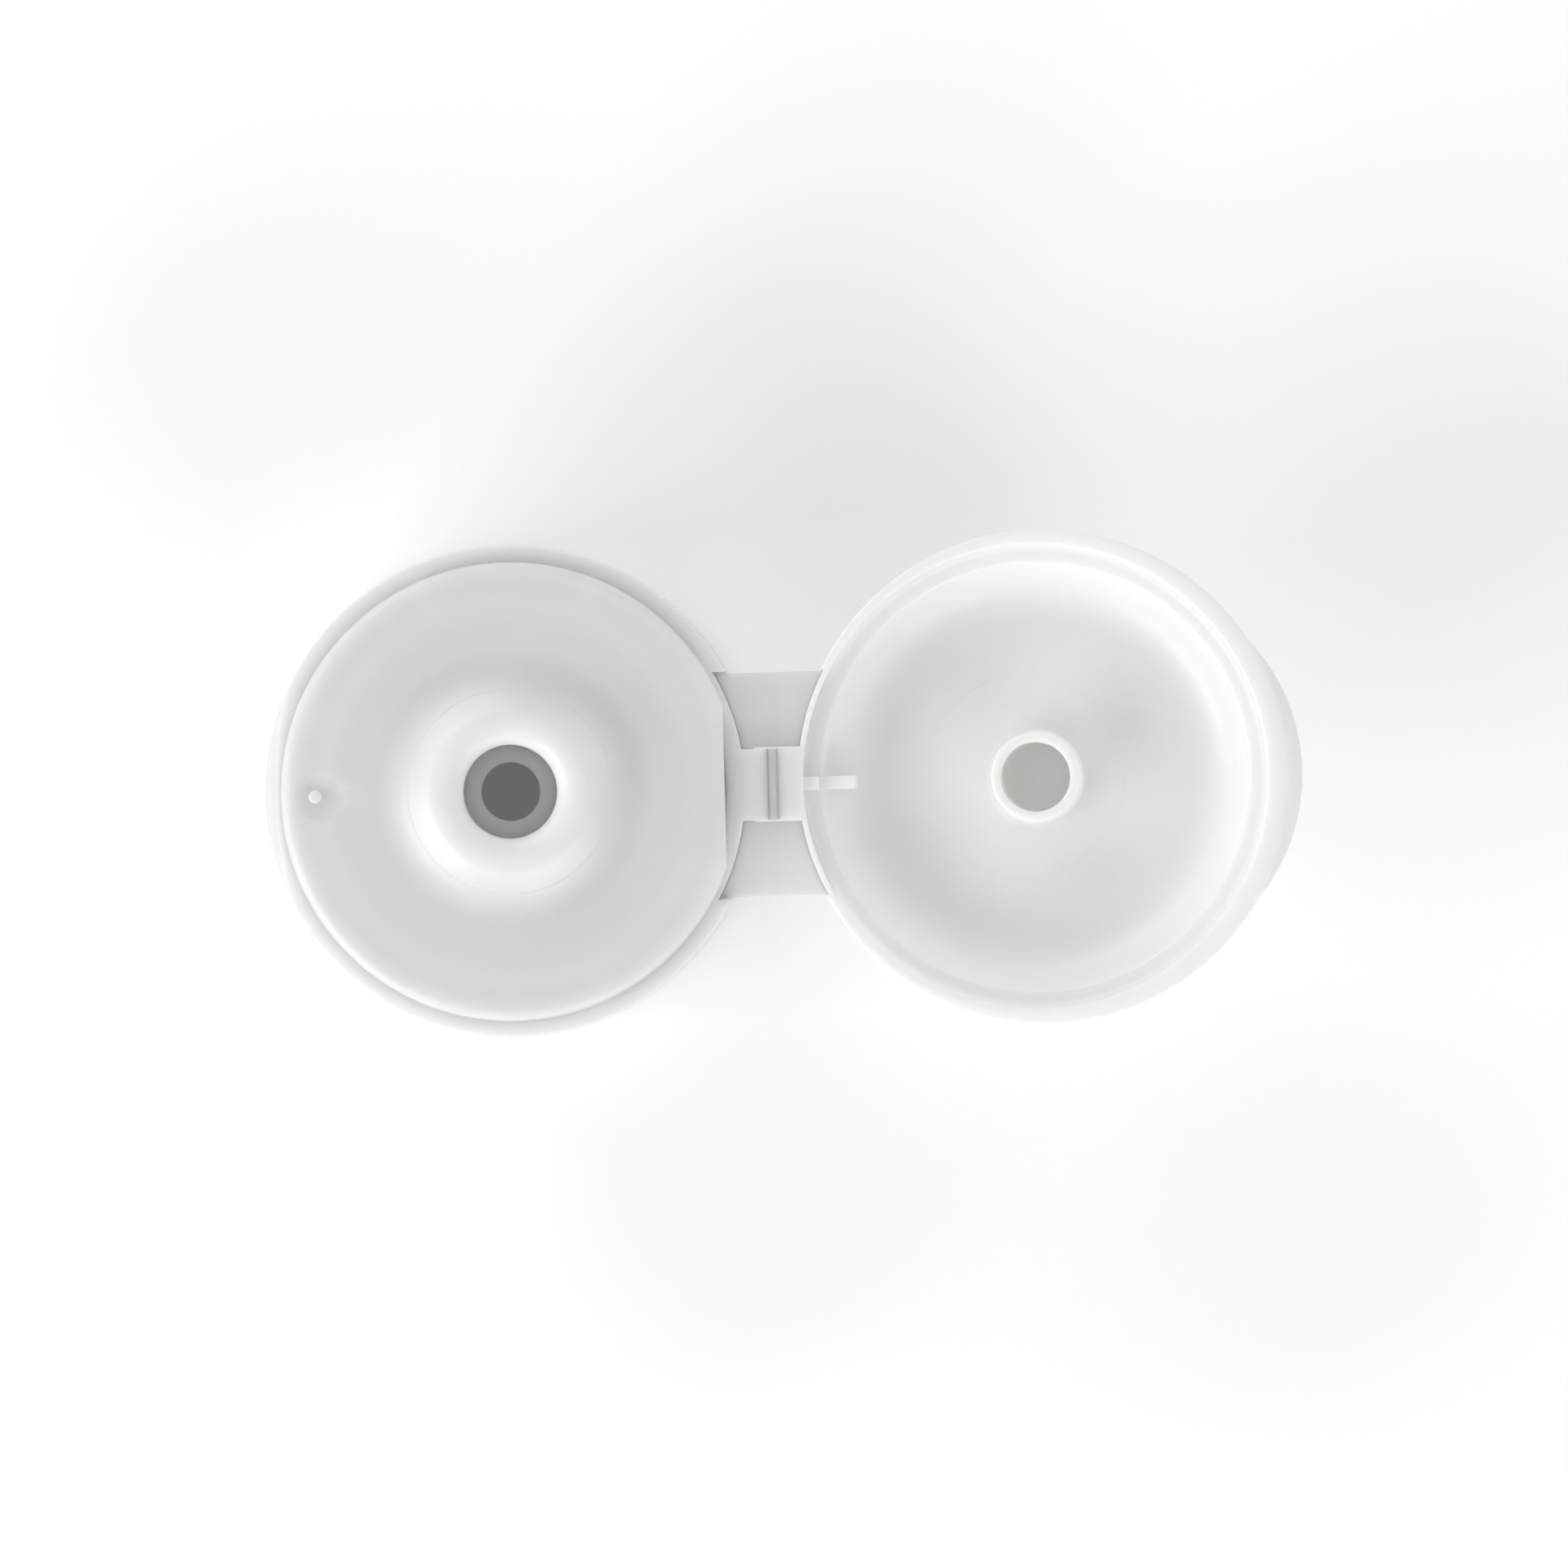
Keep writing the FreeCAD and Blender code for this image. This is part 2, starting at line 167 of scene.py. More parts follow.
def turned(
    name: str,
    corners: list[Corner],
    steps: int = SPIN_STEPS,
    centre_x: float = 0.0,
    sweep: float = 360.0,
    start: float = 0.0,
) -> bpy.types.Object:
    """Turn a rounded outline about an upright axis.

    Args:
        name: the new object's name.
        corners: the outline's corners, with x counted from the axis.
        steps: how many facets the sweep has.
        centre_x: where the axis stands, in millimetres.
        sweep: how far it is turned, in degrees.
        start: where the sweep starts, in degrees from +X.

    Returns:
        The closed solid.
    """
    piece = draw(name, rounded(corners))
    if sweep < 360:
        bpy.ops.mesh.edge_face_add()
    bpy.ops.mesh.spin(steps=steps, angle=math.radians(sweep), center=(0, 0, 0), axis=(0, 0, 1))
    tidy(piece)
    turn = Matrix.Rotation(math.radians(start + (0 if spin_turns_left() else sweep)), 4, "Z")
    place(piece, Matrix.Translation((centre_x * MM, 0, 0)) @ turn)
    return piece


def spin_turns_left() -> bool:
    """Whether the spin tool turns anticlockwise about +Z, tried once on a short line.

    Returns:
        True where it turns anticlockwise.
    """
    if "left" not in _SPIN:
        piece = draw("spin_trial", [Vector((MM, 0, 0)), Vector((MM, 0, MM))])
        bpy.ops.mesh.spin(steps=4, angle=1.0, center=(0, 0, 0), axis=(0, 0, 1))
        bpy.ops.object.mode_set(mode="OBJECT")
        _SPIN["left"] = max(v.co.y for v in piece.data.vertices) > 1e-6
        bpy.data.objects.remove(piece)
    return _SPIN["left"]


_SPIN: dict[str, bool] = {}


def extruded(name: str, corners: list[Corner], low_y: float, high_y: float) -> bpy.types.Object:
    """Draw a rounded outline and extrude it along Y.

    Args:
        name: the new object's name.
        corners: the outline's corners.
        low_y: where the solid starts.
        high_y: where it ends.

    Returns:
        The closed solid.
    """
    piece = draw(name, rounded(corners))
    bpy.ops.transform.translate(value=(0, low_y * MM, 0))
    bpy.ops.mesh.edge_face_add()
    bpy.ops.mesh.extrude_region_move(TRANSFORM_OT_translate={"value": (0, (high_y - low_y) * MM, 0)})
    return tidy(piece)


def place(piece: bpy.types.Object, matrix: Matrix) -> None:
    """Move a piece's mesh by a matrix, so that its object stays at the origin.

    Args:
        piece: the piece that is worked on.
        matrix: where its mesh goes.
    """
    only(piece)
    piece.matrix_world = matrix @ piece.matrix_world
    bpy.ops.object.transform_apply(location=True, rotation=True, scale=True)


def combine(piece: bpy.types.Object, other: bpy.types.Object, how: Join) -> bpy.types.Object:
    """Add a second solid to a piece or cut it away, and remove the second solid.

    Args:
        piece: the piece that is worked on.
        other: the second solid.
        how: whether the second solid is added or cut away.

    Returns:
        The changed piece.
    """
    only(piece)
    modifier = piece.modifiers.new("combine", "BOOLEAN")
    modifier.operation = how.value
    modifier.solver = "EXACT"
    modifier.object = other
    bpy.ops.object.modifier_apply(modifier=modifier.name)
    bpy.data.objects.remove(other)
    return piece


def smooth(piece: bpy.types.Object, angle: float = 32.0) -> bpy.types.Object:
    """Shade a piece smooth except at its sharp edges, with the flat faces leading the normals.

    Args:
        piece: the piece that is worked on.
        angle: edges sharper than this stay sharp, in degrees.

    Returns:
        The same piece.
    """
    only(piece)
    bpy.ops.object.shade_smooth_by_angle(angle=math.radians(angle))
    modifier = piece.modifiers.new("weighted", "WEIGHTED_NORMAL")
    modifier.keep_sharp = True
    modifier.weight = 60
    bpy.ops.object.modifier_apply(modifier=modifier.name)
    return piece


def slab_window(piece: bpy.types.Object, half_width: float) -> bpy.types.Object:
    """Cut a piece off at both sides, at +half_width and -half_width along Y.

    Args:
        piece: the piece that is worked on.
        half_width: half the width that is kept, in millimetres.

    Returns:
        The same piece.
    """
    only(piece)
    bpy.ops.object.mode_set(mode="EDIT")
    for side in (1, -1):
        bpy.ops.mesh.select_all(action="SELECT")
        bpy.ops.mesh.bisect(
            plane_co=(0, side * half_width * MM, 0), plane_no=(0, side, 0), use_fill=True, clear_outer=True
        )
    return tidy(piece)


def grain_group() -> bpy.types.NodeTree:
    """The shared moulded-surface effect: a faint mottle, fine spark grain and one witness ring.

    Returns:
        A node group with Tone, Rough and Height outputs.
    """
    name = "moulded_surface"
    if name in bpy.data.node_groups:
        return bpy.data.node_groups[name]
    tree = bpy.data.node_groups.new(name, "ShaderNodeTree")
    face = tree.interface
    face.new_socket("Vector", in_out="INPUT", socket_type="NodeSocketVector")
    inputs = {"Grain Scale": 9000.0, "Grain": 0.02, "Mottle": 0.02, "Ring Radius": 0.0079, "Ring": 0.0}
    for label, value in inputs.items():
        face.new_socket(label, in_out="INPUT", socket_type="NodeSocketFloat").default_value = value
    for label in ("Tone", "Rough", "Height"):
        face.new_socket(label, in_out="OUTPUT", socket_type="NodeSocketFloat")
    nodes, link = tree.nodes, tree.links.new
    enter, leave = nodes.new("NodeGroupInput"), nodes.new("NodeGroupOutput")

    def math_node(kind: str, first: object, second: object = None) -> bpy.types.NodeSocket:
        """One Math node with links or constants on its inputs.

        Args:
            kind: the node's operation.
            first: a socket or a constant.
            second: a socket, a constant or nothing.

        Returns:
            The node's output.
        """
        node = nodes.new("ShaderNodeMath")
        node.operation = kind
        for slot, value in zip(node.inputs, (first, second)):
            if isinstance(value, (int, float)):
                slot.default_value = value
            elif value is not None:
                link(value, slot)
        return node.outputs[0]

    def noise(scale: object, detail: float) -> bpy.types.NodeSocket:
        """One noise on the object's own coordinates.

        Args:
            scale: a socket or a constant.
            detail: the noise's detail.

        Returns:
            The noise's value output.
        """
        node = nodes.new("ShaderNodeTexNoise")
        link(enter.outputs["Vector"], node.inputs["Vector"])
        if isinstance(scale, (int, float)):
            node.inputs["Scale"].default_value = scale
        else:
            link(scale, node.inputs["Scale"])
        node.inputs["Detail"].default_value = detail
        return node.outputs[0]

    mottle = math_node("SUBTRACT", noise(160.0, 3.0), 0.5)
    swirl = math_node("SUBTRACT", noise(700.0, 2.0), 0.5)
    cloud = math_node("ADD", mottle, math_node("MULTIPLY", swirl, 0.5))
    tone = math_node("MULTIPLY", cloud, enter.outputs["Mottle"])
    link(math_node("ADD", tone, 1.0), leave.inputs["Tone"])
    link(math_node("ADD", swirl, 0.5), leave.inputs["Rough"])
    grain = math_node("MULTIPLY", noise(enter.outputs["Grain Scale"], 2.0), enter.outputs["Grain"])
    parts = nodes.new("ShaderNodeSeparateXYZ")
    link(enter.outputs["Vector"], parts.inputs[0])
    x_square = math_node("POWER", parts.outputs["X"], 2.0)
    y_square = math_node("POWER", parts.outputs["Y"], 2.0)
    radius = math_node("SQRT", math_node("ADD", x_square, y_square))
    away = math_node("ABSOLUTE", math_node("SUBTRACT", radius, enter.outputs["Ring Radius"]))
    ridge = math_node("MAXIMUM", math_node("SUBTRACT", 1.0, math_node("DIVIDE", away, RING_HALF_WIDTH)), 0.0)
    ring = math_node("MULTIPLY", ridge, enter.outputs["Ring"])
    link(math_node("ADD", grain, ring), leave.inputs["Height"])
    return tree


@dataclass(frozen=True)
class WhitePolypropylene:
    """Satin white polypropylene, a little translucent, as it comes out of the mould."""

    name: str
    color: tuple[float, float, float] = (0.86, 0.862, 0.85)
    roughness: tuple[float, float] = (0.34, 0.46)
    grain: float = 0.03
    mottle: float = 0.012
    ring: float = 0.0
    ring_radius: float = 7.87
    axis_x: float = 0.0
    tilt_deg: float = 0.0

    def build(self) -> bpy.types.Material:
        """Make the material's nodes.

        Returns:
            The finished material.
        """
        material = bpy.data.materials.new(self.name)
        material.use_nodes = True
        nodes, link = material.node_tree.nodes, material.node_tree.links.new
        nodes.clear()
        shader = nodes.new("ShaderNodeBsdfPrincipled")
        shader.inputs["IOR"].default_value = 1.49
        shader.inputs["Subsurface Weight"].default_value = 1.0
        shader.inputs["Subsurface Radius"].default_value = (1.0, 1.0, 0.9)
        shader.inputs["Subsurface Scale"].default_value = 0.003
        out = nodes.new("ShaderNodeOutputMaterial")
        link(shader.outputs[0], out.inputs["Surface"])
        coords = nodes.new("ShaderNodeTexCoord")
        mapping = nodes.new("ShaderNodeMapping")
        mapping.inputs["Location"].default_value = (-self.axis_x * MM, 0, 0)
        mapping.inputs["Rotation"].default_value = (0, math.radians(self.tilt_deg), 0)
        link(coords.outputs["Object"], mapping.inputs["Vector"])
        surface = nodes.new("ShaderNodeGroup")
        surface.node_tree = grain_group()
        effect = {
            "Grain": self.grain,
            "Mottle": self.mottle,
            "Ring Radius": self.ring_radius * MM,
            "Ring": self.ring,
        }
        for label, value in effect.items():
            surface.inputs[label].default_value = value
        link(mapping.outputs[0], surface.inputs["Vector"])
        tint = nodes.new("ShaderNodeMix")
        tint.data_type = "RGBA"
        tint.blend_type = "MULTIPLY"
        tint.inputs["Factor"].default_value = 1.0
        tint.inputs["A"].default_value = (*self.color, 1)
        link(surface.outputs["Tone"], tint.inputs["B"])
        link(tint.outputs["Result"], shader.inputs["Base Color"])
        rough = nodes.new("ShaderNodeMapRange")
        rough.inputs["To Min"].default_value, rough.inputs["To Max"].default_value = self.roughness
        link(surface.outputs["Rough"], rough.inputs["Value"])
        link(rough.outputs[0], shader.inputs["Roughness"])
        bump = nodes.new("ShaderNodeBump")
        bump.inputs["Distance"].default_value = 0.0001
        bump.inputs["Strength"].default_value = 0.5
        link(surface.outputs["Height"], bump.inputs["Height"])
        link(bump.outputs[0], shader.inputs["Normal"])
        return material


def dress(piece: bpy.types.Object, material: bpy.types.Material) -> None:
    """Give a piece its one material, in its only material slot.

    Args:
        piece: the piece that is worked on.
        material: the finished material.
    """
    piece.data.materials.clear()
    piece.data.materials.append(material)


@dataclass
class Parting:
    """Where body and lid meet and fold, shared by all sub-assemblies."""

    height: float = 16.4
    lid_gap: float = 0.03
    shoulder_slope: float = math.radians(8.0)
    lid_recess_radius: float = 18.2
    recess_radius: float = 18.0
    hinge_reach: float = 20.13
    fold_offset: float = 0.1
    strap_lid_slope: float = math.radians(4.0)
    open_angle: float = 176.0
    hinge_width: float = 17.5
    hinge_flat_reach: float = 16.45
    strap_width: float = 5.5
    strap_thickness: float = 0.9
    film_width: float = 0.7
    film_thickness: float = 0.3
    deck_radius: float = 17.6
    deck_rise: float = 1.3
    crest_rise: float = 2.3
    bore_mouth_round: float = 1.5

    @property
    def rim(self) -> float:
        """The height of the shut lid's rim."""
        return self.height + self.lid_gap

    @property
    def deck(self) -> float:
        """The height of the deck."""
        return self.height + self.deck_rise

    @property
    def crest(self) -> float:
        """The height of the nozzle's crest."""
        return self.deck + self.crest_rise

    @property
    def fold_height(self) -> float:
        """The height of the fold line."""
        run = self.hinge_reach - self.lid_recess_radius
        return self.height - self.fold_offset - run * math.tan(self.strap_lid_slope)

    @property
    def fold(self) -> Vector:
        """A point of the fold line, in metres."""
        return Vector((self.hinge_reach, 0, self.fold_height)) * MM

    def shoulder(self, radius: float) -> float:
        """The height of the sloping shoulder at a radius."""
        return self.height - (radius - self.lid_recess_radius) * math.tan(self.shoulder_slope)

    def strap(self, x: float) -> float:
        """The height of the body's half of the strap at a distance from the axis."""
        return self.fold_height - self.fold_offset + (self.hinge_reach - x) * math.tan(self.shoulder_slope)

    def under_lid_strap(self, x: float) -> float:
        """The height of the lid's half of the strap's near face, with the lid shut."""
        return self.fold_height + self.fold_offset + (self.hinge_reach - x) * math.tan(self.strap_lid_slope)

    def swing(self) -> Matrix:
        """The matrix that swings what was made shut to where it lies open."""
        turn = Matrix.Rotation(math.radians(self.open_angle), 4, "Y")
        return Matrix.Translation(self.fold) @ turn @ Matrix.Translation(-self.fold)


@dataclass
class ThreadedBody:
    """The body: skirts, shoulder, deck, crater nozzle, neck fit and the body's half of the strap."""

    parting: Parting
    outer_radius: float = 19.0
    shoulder_radius: float = 18.9
    skirt_wall: float = 1.5
    deck_thickness: float = 1.2
    orifice_radius: float = 2.25
    bore_radius: float = 3.6
    bore_floor_drop: float = 1.3
    shelf_thickness: float = 1.0
    well_wall: float = 1.1
    crest_corner: float = 6.0
    flank_foot_radius: float = 9.0
    thread_wall_radius: float = 14.05
    neck_skirt_wall: float = 1.25
    thread_wall_length: float = 13.6
    thread_wall_step: float = 0.25
    seal_radius: float = 11.7
    seal_wall: float = 0.8
    seal_depth: float = 2.0
    seal_lead_in: float = 0.27
    thread_pitch: float = 4.23
    thread_turns: float = 1.6
    recess_depth: float = 4.5
    scoop_depth: float = 0.85
    scoop_plan_radius: float = 33.0
    scoop_section_radius: float = 7.0
    gate_reach: float = 14.6
    gate_radius: float = 1.9
    gate_depth: float = 0.3
    gate_nub_radius: float = 0.5
    gate_nub_offset: float = 0.38
    rib_count: int = 8
    rib_thickness: float = 0.9
    rib_depth: float = 8.4
    buried_root: float = 0.3
    finish: WhitePolypropylene = field(
        default_factory=lambda: WhitePolypropylene("polypropylene_body", ring=0.6)
    )

    def section(self) -> list[Corner]:
        """The closed section of everything that is turned about the body's axis.

        Returns:
            The corners, in order round the section.
        """
        p = self.parting
        roof = p.deck - self.deck_thickness
        floor = p.height - self.bore_floor_drop
        well = self.bore_radius + self.well_wall
        below = floor - self.shelf_thickness
        neck = self.thread_wall_radius
        skirt = neck + self.neck_skirt_wall
        return [
            (self.orifice_radius, below, 0.12),
            (self.orifice_radius, floor, 0.1),
            (self.bore_radius, floor, 0.2),
            (self.bore_radius, p.crest, p.bore_mouth_round),
            (self.crest_corner, p.crest, 1.8),
            (self.flank_foot_radius, p.deck, 5.0),
            (p.deck_radius, p.deck, 0.8),
            (p.deck_radius, p.shoulder(p.deck_radius), 0.18),
            (self.shoulder_radius, p.shoulder(self.shoulder_radius), 0.28),
            (self.outer_radius, 0, 0.35),
            (self.outer_radius - self.skirt_wall, 0, 0.2),
            (self.shoulder_radius - self.skirt_wall, roof, 1.0),
            (skirt, roof, 0.2),
            (skirt, 0, 0.3),
            (neck, 0, 0.25),
            (neck, self.thread_wall_length, 0.15),
            (neck - self.thread_wall_step, self.thread_wall_length, 0.08),
            (neck - self.thread_wall_step, roof, 0.3),
            (self.seal_radius, roof, 0.2),
            (self.seal_radius, roof - self.seal_depth / 2, 0.3),
            (self.seal_radius - self.seal_lead_in, roof - self.seal_depth, 0.2),
            (self.seal_radius - self.seal_wall, roof - self.seal_depth, 0.2),
            (self.seal_radius - self.seal_wall, roof, 0.3),
            (well, roof, 0.4),
            (well, below, 0.3),
        ]

    def recess(self) -> bpy.types.Object:
        """The solid that is cut from the wall at the hinge.

        Returns:
            The closed solid.
        """
        p = self.parting
        low, high = p.height - self.recess_depth, p.deck
        corners = [(p.recess_radius, low, 0), (p.recess_radius, high, 0), (20.0, high, 0), (20.0, low, 0)]
        return slab_window(turned("body_recess", corners, 40, sweep=70, start=-35), p.hinge_width / 2)

    def hinge_flat(self) -> bpy.types.Object:
        """The solid that is cut from the deck's edge at the hinge.

        Returns:
            The closed solid.
        """
        p = self.parting
        x = p.hinge_flat_reach
        corners = [
            (x, p.strap(x), 0.15),
            (x, p.deck - 0.12, 0.55),
            (x - 1.1, p.deck + 0.02, 0),
            (x - 1.1, p.deck + 0.5, 0),
            (19.6, p.deck + 0.5, 0),
            (19.6, p.strap(19.6), 0),
        ]
        return extruded("hinge_flat", corners, -9.5, 9.5)

    def strap(self) -> bpy.types.Object:
        """The body's half of the strap.

        Returns:
            The closed solid.
        """
        p = self.parting
        root, tip = p.recess_radius - 0.7, p.hinge_reach - p.film_width / 2
        corners = [
            (root, p.strap(root) - 0.002, 0),
            (tip, p.strap(tip), 0.04),
            (tip, p.strap(tip) - p.film_thickness, 0),
            (tip - 0.4, p.strap(tip) - p.strap_thickness, 0.2),
            (p.recess_radius, p.strap(p.recess_radius) - p.strap_thickness, 0.1),
            (p.recess_radius - 0.1, p.strap(root) - 2 * p.strap_thickness, 0),
            (root, p.strap(root) - 2 * p.strap_thickness, 0),
        ]
        return extruded("body_strap", corners, -p.strap_width / 2, p.strap_width / 2)

    def scoop(self) -> bpy.types.Object:
        """The solid that is cut from the front of the skirt for the thumb.

        Returns:
            The closed solid.
        """
        front = self.shoulder_radius - self.scoop_depth
        inner, section = self.scoop_plan_radius, self.scoop_section_radius
        top = self.parting.height
        arc = [
            (inner + section * (1 - math.cos(a)), top - section * math.sin(a), 0.0)
            for a in (math.radians(6 * k) for k in range(16))
        ]
        outer = inner + section + 1
        corners = [(inner, top + 0.18, 0.0), *arc, (outer, top - section, 0), (outer, top + 0.18, 0)]
        return turned("thumb_scoop", corners, 60, centre_x=inner - front, sweep=40, start=160)

    def gate_dish(self) -> bpy.types.Object:
        """The ball that leaves the shallow dish round the moulding's gate.

        Returns:
            The closed solid.
        """
        ball = (self.gate_radius**2 + self.gate_depth**2) / (2 * self.gate_depth)
        nothing_selected()
        height = self.parting.deck + ball - self.gate_depth
        bpy.ops.mesh.primitive_uv_sphere_add(
            segments=96, ring_count=120, radius=ball * MM, location=(-self.gate_reach * MM, 0, height * MM)
        )
        bpy.ops.object.transform_apply(location=True)
        return bpy.context.object

    def gate_nub(self) -> bpy.types.Object:
        """The stub that is left where the gate broke off.

        Returns:
            The closed solid.
        """
        base = self.parting.deck - self.gate_depth - 0.1
        nub, top = self.gate_nub_radius, base + 0.5
        corners = [(0, base, 0), (nub, base, 0), (nub, top, 0.22), (0, top, 0)]
        return turned("gate_nub", corners, 40, centre_x=-self.gate_reach - self.gate_nub_offset)

    def stiffeners(self) -> bpy.types.Object:
        """The ribs between the two skirts, made once and turned round the axis.

        Returns:
            The closed solid.
        """
        p = self.parting
        roof = p.deck - self.deck_thickness
        inner = self.thread_wall_radius + self.neck_skirt_wall - self.buried_root
        outer = self.shoulder_radius - self.skirt_wall + 0.15
        high, low = roof + self.buried_root, roof - self.rib_depth
        corners = [(inner, high, 0), (outer, high, 0), (outer, low, 0), (inner, low, 0)]
        whole = extruded("skirt_ribs", corners, -self.rib_thickness / 2, self.rib_thickness / 2)
        place(whole, Matrix.Rotation(math.pi / self.rib_count, 4, "Z"))
        bpy.ops.object.mode_set(mode="EDIT")
        bpy.ops.mesh.select_all(action="SELECT")
        bpy.ops.mesh.spin(steps=self.rib_count, dupli=True, angle=math.tau, center=(0, 0, 0), axis=(0, 0, 1))
        return tidy(whole)

    def backing(self) -> bpy.types.Object:
        """The thicker wall inside the skirt behind the hinge's recess.

        Returns:
            The closed solid.
        """
        p = self.parting
        low = p.height - self.recess_depth - 1.0
        high = p.deck - self.deck_thickness + self.buried_root
        outer = self.shoulder_radius - self.skirt_wall + 0.15
        corners = [(16.5, low, 0.3), (outer, low, 0), (outer, high, 0), (16.5, high, 0)]
        return slab_window(turned("recess_backing", corners, 48, sweep=84, start=-42), 9.75)

    def thread(self) -> bpy.types.Object:
        """The helical thread inside the neck skirt, which runs in from the foot.

        Returns:
            The closed solid.
        """
        root, crest = self.thread_wall_radius + 0.12, self.thread_wall_radius - 1.1
        corners = [(root, -1.25, 0), (root, 1.25, 0), (crest, 0.42, 0.25), (crest, -0.42, 0.25)]
        piece = draw("neck_thread", rounded(corners, 30))
        bpy.ops.mesh.edge_face_add()
        bpy.ops.object.mode_set(mode="OBJECT")
        only(piece)
        screw = piece.modifiers.new("thread", "SCREW")
        screw.angle = 2 * math.pi * self.thread_turns
        screw.screw_offset = self.thread_pitch * self.thread_turns * MM
        screw.steps = screw.render_steps = int(120 * self.thread_turns)
        screw.use_normal_calculate = True
        bpy.ops.object.modifier_apply(modifier=screw.name)
        place(piece, Matrix.Translation((0, 0, 3.2 * MM)))
        bpy.ops.object.mode_set(mode="EDIT")
        return tidy(piece)

    def build(self) -> list[bpy.types.Object]:
        """Make the body and its thread, and let them ride on the body.

        Returns:
            The finished pieces.
        """
        body = turned("closure_moulding", self.section())
        combine(body, self.stiffeners(), Join.ADD)
        combine(body, self.backing(), Join.ADD)
        combine(body, self.hinge_flat(), Join.CUT)
        combine(body, self.recess(), Join.CUT)
        combine(body, self.scoop(), Join.CUT)
        combine(body, self.gate_dish(), Join.CUT)
        combine(body, self.gate_nub(), Join.ADD)
        combine(body, self.strap(), Join.ADD)
        thread = self.thread()
        material = self.finish.build()
        for piece in (body, thread):
            smooth(piece)
            dress(piece, material)
            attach(piece, "body")
        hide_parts("closure_body")
        return [body, thread]


@dataclass
class DomedLid:
    """The lid: dome, rabbet, bowl, hollow plug, rib, thumb lip and the lid's half of the strap."""

    parting: Parting
    outer_radius: float = 19.0
    wall: float = 1.3
    depth: float = 5.0
    bowl_lean: float = 1.0
    bowl_round: float = 4.4
    front_overhang: float = 0.62
    lip_reach: float = 20.55
    lip_radius: float = 15.0
    plug_radius: float = 3.52
    plug_hollow: float = 2.67
    plug_engagement: float = 1.2
    plug_tip_taper: float = 0.12
    plug_root_growth: float = 0.16
    deck_clearance: float = 0.15
    rabbet_clearance: float = 0.2
    rib_inner_reach: float = 13.9
    rib_thickness: float = 1.0
    rib_set_back: float = 0.45
    recess_depth: float = 3.4
    finish: WhitePolypropylene = field(
        default_factory=lambda: WhitePolypropylene(
            "polypropylene_lid", ring=0.6, ring_radius=7.76, axis_x=40.2, tilt_deg=4.0
        )
    )

    def dome(self) -> bpy.types.Object:
        """The lid as a closed dome, with its front half drawn forward.

        Returns:
            The closed solid.
        """
        rim, top = self.parting.rim, self.parting.rim + self.depth + self.wall
        corners = [
            (0, rim, 0),
            (self.outer_radius, rim, 0.22),
            (self.outer_radius - 0.35, top - 0.1, 6.0),
            (6.0, top + 0.3, 90.0),
            (0, top + 0.3, 0),
        ]
        piece = turned("lid_moulding", corners)
        for vertex in piece.data.vertices:
            vertex.select = vertex.co.x < -1e-7 and vertex.co.xy.length > 1e-7
        bpy.ops.object.mode_set(mode="EDIT")
        bpy.ops.transform.translate(value=(-self.front_overhang * MM, 0, 0))
        bpy.ops.object.mode_set(mode="OBJECT")
        return piece

    def lip(self) -> bpy.types.Object:
        """The lip under the lid's front edge that the thumb lifts.

        Returns:
            The closed solid.
        """
        rim, edge = self.parting.rim, self.lip_radius
        corners = [
            (10.0, rim, 0),
            (edge - 1.2, rim, 2.0),
            (edge, rim + 0.35, 0.18),
            (edge, rim + 0.9, 0.22),
            (edge - 1.3, rim + 1.15, 1.2),
            (edge - 2.6, rim + 3.8, 0),
            (10.0, rim + 3.8, 0),
        ]
        return turned("thumb_lip", corners, 64, centre_x=edge - self.lip_reach, sweep=100, start=130)

    def bowl(self) -> bpy.types.Object:
        """The solid that is cut from inside the lid: the bowl and the rabbet.

        Returns:
            The closed solid.
        """
        p = self.parting
        rim, inner = p.rim, p.hinge_flat_reach
        shelf = rim + p.deck_rise + self.rabbet_clearance
        corners = [
            (0, rim - 0.5, 0),
            (18.6, rim - 0.5, 0),
            (18.6, rim - 0.0002, 0),
            (p.deck_radius + 0.25, rim, 0.27),
            (p.deck_radius + self.deck_clearance, shelf, 0.6),
            (inner, shelf + 0.1, 0.3),
            (inner - self.bowl_lean, rim + self.depth, self.bowl_round),
            (0, rim + self.depth, 0),
        ]
        return turned("lid_bowl", corners)

    def plug(self) -> bpy.types.Object:
        """The hollow plug that enters the nozzle's bore.

        Returns:
            The closed solid.
        """
        ceiling = self.parting.rim + self.depth
        bore_top = self.parting.crest - self.parting.bore_mouth_round
        tip = bore_top - self.plug_engagement
        corners = [
            (self.plug_hollow, ceiling + 0.6, 0),
            (self.plug_hollow, tip, 0.3),
            (self.plug_radius - self.plug_tip_taper, tip, 0.3),
            (self.plug_radius, bore_top, 2.0),
            (self.plug_radius + self.plug_root_growth, ceiling - 0.02, 0.5),
            (self.plug_radius + 1.4, ceiling, 0),
            (self.plug_radius + 1.4, ceiling + 0.6, 0),
        ]
        return turned("sealing_plug", corners, 120)

    def rib(self) -> bpy.types.Object:
        """The short rib behind the hinge.

        Returns:
            The closed solid.
        """
        p = self.parting
        shelf, high = p.rim + p.deck_rise + self.rabbet_clearance, p.rim + self.depth + 0.6
        outer, step = p.deck_radius + 0.35, p.hinge_flat_reach + 0.2
        foot = p.rim + self.rib_set_back
        corners = [
            (self.rib_inner_reach, shelf, 0.15),
            (step, shelf, 0.1),
            (step, foot, 0.15),
            (outer, foot, 0),
            (outer, shelf + 1.5, 0),
            (15.0, high, 0),
            (self.rib_inner_reach, high, 0),
        ]
        return extruded("hinge_rib", corners, -self.rib_thickness / 2, self.rib_thickness / 2)

